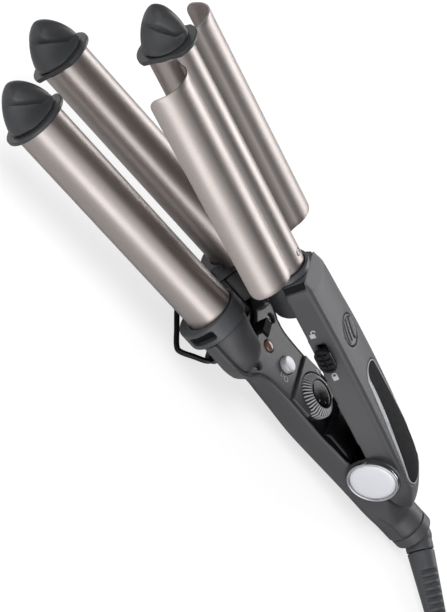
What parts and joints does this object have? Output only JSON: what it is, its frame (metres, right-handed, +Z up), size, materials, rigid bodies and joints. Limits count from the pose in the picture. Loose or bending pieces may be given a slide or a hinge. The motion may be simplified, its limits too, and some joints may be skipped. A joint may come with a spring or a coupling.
{
  "type": "hair waver",
  "caption": "Hinged hair waver: two heated barrels on the lower arm, one between clamp shells on the sprung upper arm, with a wire stand, dial, lock and swivel cord.",
  "frame": {"origin": "centre of the tool's footprint without its cord, on the surface it lies on", "axes": "+X from the barrel tips towards the cord, +Y towards the rear barrel, +Z up"},
  "size_m": [0.449, 0.1222, 0.1028],
  "materials": {
    "satin_charcoal": "satin",
    "titanium_barrel": "brushed warm titanium coating",
    "tip_grey": "satin",
    "gloss_black": "gloss",
    "chrome_trim": "polished",
    "steel": "plain",
    "pearl_silver": "silver-white satin",
    "black_wire": "gloss black",
    "cord_black": "satin",
    "ceramic": "ceramic heater and its frame",
    "board_green": "printed circuit board",
    "amber_lamp": "amber lens"
  },
  "bodies": {
    "lower_arm": {"lower_casing": "satin_charcoal", "control_deck": "satin_charcoal", "dial_deck": "satin_charcoal", "front_barrel": "titanium_barrel", "rear_barrel": "titanium_barrel", "centre_cradle": "tip_grey", "barrel_bridge": "tip_grey", "front_collar": "tip_grey", "rear_collar": "tip_grey", "front_tip_cap": "tip_grey", "rear_tip_cap": "tip_grey", "tail_ring": "tip_grey", "spring_cover": "gloss_black", "latch_catch": "gloss_black", "power_switch": "gloss_black", "dial_potentiometer": "gloss_black", "front_pivot_rim": "chrome_trim", "rear_pivot_rim": "chrome_trim", "front_deck_screw": "steel", "rear_deck_screw": "steel", "hinge_pin": "steel", "return_spring": "steel", "left_plug_pin": "steel", "right_plug_pin": "steel", "front_pivot_cap": "pearl_silver", "rear_pivot_cap": "pearl_silver", "cord_lead": "cord_black", "cord_coil": "cord_black", "cord_tail": "cord_black", "coil_tie": "cord_black", "plug_body": "cord_black", "front_heater": "ceramic", "rear_heater": "ceramic", "circuit_board": "board_green", "indicator_lamp": "amber_lamp"},
    "upper_arm": {"upper_casing": "satin_charcoal", "upper_inner_cover": "satin_charcoal", "barrel_seat": "satin_charcoal", "centre_ring": "tip_grey", "centre_barrel": "titanium_barrel", "centre_heater": "ceramic", "centre_tip_cap": "tip_grey", "front_wing": "titanium_barrel", "rear_wing": "titanium_barrel", "vent_insert": "satin_charcoal", "badge_plate": "gloss_black", "badge_rim": "chrome_trim", "front_cover_screw": "steel", "rear_cover_screw": "steel"},
    "lock": {"lock_slider": "satin_charcoal", "latch_hook": "steel"},
    "button": {"power_button": "chrome_trim"},
    "dial": {"temperature_dial": "gloss_black"},
    "stand": {"stand_wire": "black_wire"},
    "swivel": {"swivel_knuckle": "tip_grey", "cord_sleeve": "cord_black"}
  },
  "joints": [
    {"name": "main_hinge", "type": "hinge", "parent": "lower_arm", "child": "upper_arm", "pos_m": [0.08309, 0.00215, 0.0271], "axis": [0, 1, 0], "range_deg": [-14.4, 0], "stiffness_Nm_per_rad": 0.8, "springref_deg": 17.19},
    {"name": "lock_slide", "type": "slide", "parent": "upper_arm", "child": "lock", "axis": [-0.9639, 0, 0.2662], "range_m": [0, 0.003]},
    {"name": "button_press", "type": "slide", "parent": "lower_arm", "child": "button", "axis": [-0.0181, 0, -0.9998], "range_m": [0, 0.001], "stiffness_N_per_m": 400},
    {"name": "dial_turn", "type": "hinge", "parent": "lower_arm", "child": "dial", "pos_m": [0.041, 0.00215, 0.02226], "axis": [0.0181, 0, 0.9998], "range_deg": [-135, 135]},
    {"name": "stand_fold", "type": "hinge", "parent": "lower_arm", "child": "stand", "pos_m": [-0.01271, 0.00215, 0.01143], "axis": [0, -1, 0], "range_deg": [0, 132]},
    {"name": "cord_swivel", "type": "hinge", "parent": "lower_arm", "child": "swivel", "pos_m": [0.13578, 0.00215, 0.00954], "axis": [0.9998, 0, -0.0181], "continuous": true}
  ]
}
